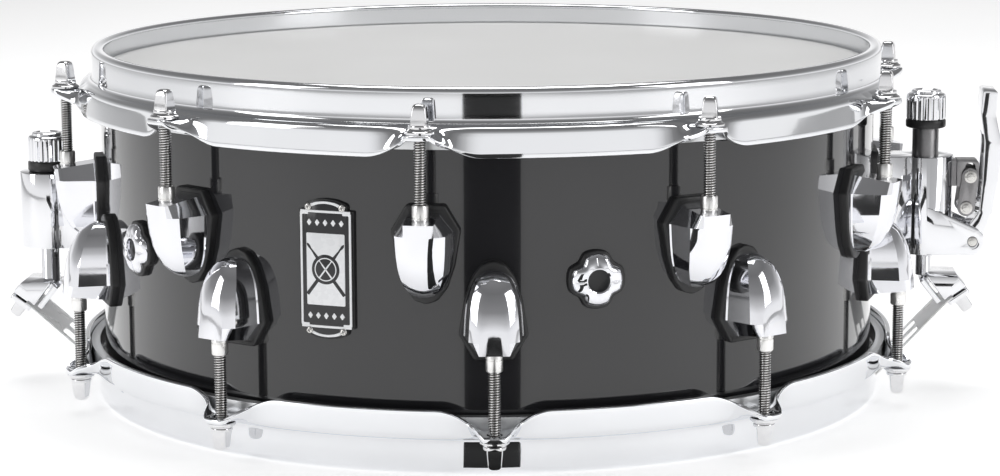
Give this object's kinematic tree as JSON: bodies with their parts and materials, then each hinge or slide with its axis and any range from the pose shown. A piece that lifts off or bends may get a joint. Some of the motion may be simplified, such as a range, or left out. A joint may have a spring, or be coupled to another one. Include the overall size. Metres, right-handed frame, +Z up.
{
  "type": "snare drum",
  "caption": "Wood shell snare drum with flanged chrome hoops, faceted lugs, throw-off strainer, butt plate and coiled snare wires.",
  "frame": {"origin": "on the drum's axis, in the plane of the bottom hoop's rim, which the drum rests on", "axes": "+Z up along the drum's axis towards the batter head, +X towards the throw-off strainer, the butt plate at -X, the badge on the -Y side"},
  "size_m": [0.4622, 0.3988, 0.16],
  "materials": {
    "shell_lacquer": "piano black lacquer over maple ply",
    "coated_film": "sprayed white coating",
    "clear_film": "clear polyester film",
    "aluminium": "satin",
    "hoop_chrome": "polished chrome on steel",
    "lug_chrome": "polished chrome on die cast zinc",
    "rod_steel": "nickel plated steel",
    "nut_nickel": "satin nickel",
    "fastener_steel": "zinc plated",
    "black_rubber": "moulded",
    "badge_face": "printed plate",
    "badge_black": "moulded",
    "strainer_chrome": "polished chrome on die cast zinc",
    "link_steel": "grey satin",
    "knob_black": "moulded",
    "strap_plastic": "translucent",
    "snare_steel": "coiled spring wire"
  },
  "bodies": {
    "root": {"shell": "shell_lacquer", "batter_head_film": "coated_film", "snare_head_film": "clear_film", "batter_flesh_hoop": "aluminium", "snare_flesh_hoop": "aluminium", "batter_hoop": "hoop_chrome", "snare_hoop": "hoop_chrome", "tension_washers": "rod_steel", "swivel_nuts": "nut_nickel", "lug_gaskets": "black_rubber", "lug_casings": "lug_chrome", "shell_screws": "fastener_steel", "vent_grommets": "lug_chrome", "vent_gaskets": "black_rubber", "vent_retainers": "fastener_steel", "badge_backing": "badge_black", "badge_plate": "badge_face", "badge_screws": "fastener_steel", "snare_wires": "snare_steel", "snare_end_plates": "snare_steel", "strainer_strap": "strap_plastic", "butt_strap": "strap_plastic", "mount_gaskets": "black_rubber", "strainer_housing": "strainer_chrome", "lever_pivot_pin": "fastener_steel", "butt_housing": "strainer_chrome"},
    "lever": {"throw_lever": "strainer_chrome"},
    "link": {"toggle_links": "link_steel", "toggle_pins": "fastener_steel"},
    "carriage": {"strainer_carriage": "link_steel", "strainer_knob_ring": "knob_black"},
    "strainer_knob": {"strainer_knob": "strainer_chrome"},
    "strainer_clamp": {"strainer_clamp_block": "strainer_chrome", "strainer_clamp_jaw": "strainer_chrome"},
    "strainer_screw": {"strainer_clamp_screw": "rod_steel"},
    "butt_knob": {"butt_knob": "strainer_chrome", "butt_knob_ring": "knob_black"},
    "butt_clamp": {"butt_clamp_block": "strainer_chrome", "butt_clamp_jaw": "strainer_chrome"},
    "butt_screw": {"butt_clamp_screw": "rod_steel"},
    "rod_top_01": {"tension_rod_top_01": "rod_steel"},
    "rod_bottom_01": {"tension_rod_bottom_01": "rod_steel"},
    "rod_top_02": {"tension_rod_top_02": "rod_steel"},
    "rod_bottom_02": {"tension_rod_bottom_02": "rod_steel"},
    "rod_top_03": {"tension_rod_top_03": "rod_steel"},
    "rod_bottom_03": {"tension_rod_bottom_03": "rod_steel"},
    "rod_top_04": {"tension_rod_top_04": "rod_steel"},
    "rod_bottom_04": {"tension_rod_bottom_04": "rod_steel"},
    "rod_top_05": {"tension_rod_top_05": "rod_steel"},
    "rod_bottom_05": {"tension_rod_bottom_05": "rod_steel"},
    "rod_top_06": {"tension_rod_top_06": "rod_steel"},
    "rod_bottom_06": {"tension_rod_bottom_06": "rod_steel"},
    "rod_top_07": {"tension_rod_top_07": "rod_steel"},
    "rod_bottom_07": {"tension_rod_bottom_07": "rod_steel"},
    "rod_top_08": {"tension_rod_top_08": "rod_steel"},
    "rod_bottom_08": {"tension_rod_bottom_08": "rod_steel"},
    "rod_top_09": {"tension_rod_top_09": "rod_steel"},
    "rod_bottom_09": {"tension_rod_bottom_09": "rod_steel"},
    "rod_top_10": {"tension_rod_top_10": "rod_steel"},
    "rod_bottom_10": {"tension_rod_bottom_10": "rod_steel"}
  },
  "joints": [
    {"name": "rod_top_01_turn", "type": "hinge", "parent": "root", "child": "rod_top_01", "pos_m": [-0.01474, -0.19244, 0.14], "axis": [0, 0, 1], "continuous": true},
    {"name": "rod_top_02_turn", "type": "hinge", "parent": "root", "child": "rod_top_02", "pos_m": [0.10119, -0.16435, 0.14], "axis": [0, 0, 1], "continuous": true},
    {"name": "rod_top_03_turn", "type": "hinge", "parent": "root", "child": "rod_top_03", "pos_m": [0.17846, -0.07348, 0.14], "axis": [0, 0, 1], "continuous": true},
    {"name": "rod_top_04_turn", "type": "hinge", "parent": "root", "child": "rod_top_04", "pos_m": [0.18757, 0.04545, 0.14], "axis": [0, 0, 1], "continuous": true},
    {"name": "rod_top_05_turn", "type": "hinge", "parent": "root", "child": "rod_top_05", "pos_m": [0.12504, 0.14702, 0.14], "axis": [0, 0, 1], "continuous": true},
    {"name": "rod_top_06_turn", "type": "hinge", "parent": "root", "child": "rod_top_06", "pos_m": [0.01474, 0.19244, 0.14], "axis": [0, 0, 1], "continuous": true},
    {"name": "rod_top_07_turn", "type": "hinge", "parent": "root", "child": "rod_top_07", "pos_m": [-0.10119, 0.16435, 0.14], "axis": [0, 0, 1], "continuous": true},
    {"name": "rod_top_08_turn", "type": "hinge", "parent": "root", "child": "rod_top_08", "pos_m": [-0.17846, 0.07348, 0.14], "axis": [0, 0, 1], "continuous": true},
    {"name": "rod_top_09_turn", "type": "hinge", "parent": "root", "child": "rod_top_09", "pos_m": [-0.18757, -0.04545, 0.14], "axis": [0, 0, 1], "continuous": true},
    {"name": "rod_top_10_turn", "type": "hinge", "parent": "root", "child": "rod_top_10", "pos_m": [-0.12504, -0.14702, 0.14], "axis": [0, 0, 1], "continuous": true},
    {"name": "rod_bottom_01_turn", "type": "hinge", "parent": "root", "child": "rod_bottom_01", "pos_m": [0.01474, -0.19244, 0.02], "axis": [0, 0, 1], "continuous": true},
    {"name": "rod_bottom_02_turn", "type": "hinge", "parent": "root", "child": "rod_bottom_02", "pos_m": [0.12504, -0.14702, 0.02], "axis": [0, 0, 1], "continuous": true},
    {"name": "rod_bottom_03_turn", "type": "hinge", "parent": "root", "child": "rod_bottom_03", "pos_m": [0.18757, -0.04545, 0.02], "axis": [0, 0, 1], "continuous": true},
    {"name": "rod_bottom_04_turn", "type": "hinge", "parent": "root", "child": "rod_bottom_04", "pos_m": [0.17846, 0.07348, 0.02], "axis": [0, 0, 1], "continuous": true},
    {"name": "rod_bottom_05_turn", "type": "hinge", "parent": "root", "child": "rod_bottom_05", "pos_m": [0.10119, 0.16435, 0.02], "axis": [0, 0, 1], "continuous": true},
    {"name": "rod_bottom_06_turn", "type": "hinge", "parent": "root", "child": "rod_bottom_06", "pos_m": [-0.01474, 0.19244, 0.02], "axis": [0, 0, 1], "continuous": true},
    {"name": "rod_bottom_07_turn", "type": "hinge", "parent": "root", "child": "rod_bottom_07", "pos_m": [-0.12504, 0.14702, 0.02], "axis": [0, 0, 1], "continuous": true},
    {"name": "rod_bottom_08_turn", "type": "hinge", "parent": "root", "child": "rod_bottom_08", "pos_m": [-0.18757, 0.04545, 0.02], "axis": [0, 0, 1], "continuous": true},
    {"name": "rod_bottom_09_turn", "type": "hinge", "parent": "root", "child": "rod_bottom_09", "pos_m": [-0.17846, -0.07348, 0.02], "axis": [0, 0, 1], "continuous": true},
    {"name": "rod_bottom_10_turn", "type": "hinge", "parent": "root", "child": "rod_bottom_10", "pos_m": [-0.10119, -0.16435, 0.02], "axis": [0, 0, 1], "continuous": true},
    {"name": "lever_throw", "type": "hinge", "parent": "root", "child": "lever", "pos_m": [0.22335, 0, 0.069], "axis": [0, 1, 0], "range_deg": [0, 60]},
    {"name": "link_swing", "type": "hinge", "parent": "lever", "child": "link", "pos_m": [0.22055, 0, 0.0839], "axis": [0, 1, 0], "range_deg": [-127.2, 0]},
    {"name": "carriage_drop", "type": "slide", "parent": "root", "child": "carriage", "axis": [0, 0, -1], "range_m": [0, 0.01225], "deforming": ["strainer_strap"]},
    {"name": "strainer_knob_turn", "type": "hinge", "parent": "carriage", "child": "strainer_knob", "pos_m": [0.2021, 0, 0.13], "axis": [0, 0, 1], "range_deg": [-1085, 1085]},
    {"name": "strainer_clamp_slide", "type": "slide", "parent": "carriage", "child": "strainer_clamp", "axis": [0, 0, 1], "range_m": [-0.003, 0.003]},
    {"name": "strainer_screw_turn", "type": "hinge", "parent": "strainer_clamp", "child": "strainer_screw", "pos_m": [0.2163, 0, 0.0449], "axis": [0.5892, 0, -0.808], "continuous": true},
    {"name": "butt_knob_turn", "type": "hinge", "parent": "root", "child": "butt_knob", "pos_m": [-0.2065, 0, 0.11], "axis": [0, 0, 1], "range_deg": [-1085, 1085]},
    {"name": "butt_clamp_slide", "type": "slide", "parent": "root", "child": "butt_clamp", "axis": [0, 0, 1], "range_m": [-0.003, 0.003], "deforming": ["butt_strap"]},
    {"name": "butt_screw_turn", "type": "hinge", "parent": "butt_clamp", "child": "butt_screw", "pos_m": [-0.2172, 0, 0.0391], "axis": [-0.5892, 0, -0.808], "continuous": true}
  ],
  "couplings": [
    {"joint": "link_swing", "follows": "lever_throw", "ratio": -2.115},
    {"joint": "carriage_drop", "follows": "lever_throw", "m_per_rad": 0.011621},
    {"joint": "strainer_knob_turn", "follows": "strainer_clamp_slide", "rad_per_m": -6283.2},
    {"joint": "butt_knob_turn", "follows": "butt_clamp_slide", "rad_per_m": -6283.2}
  ]
}
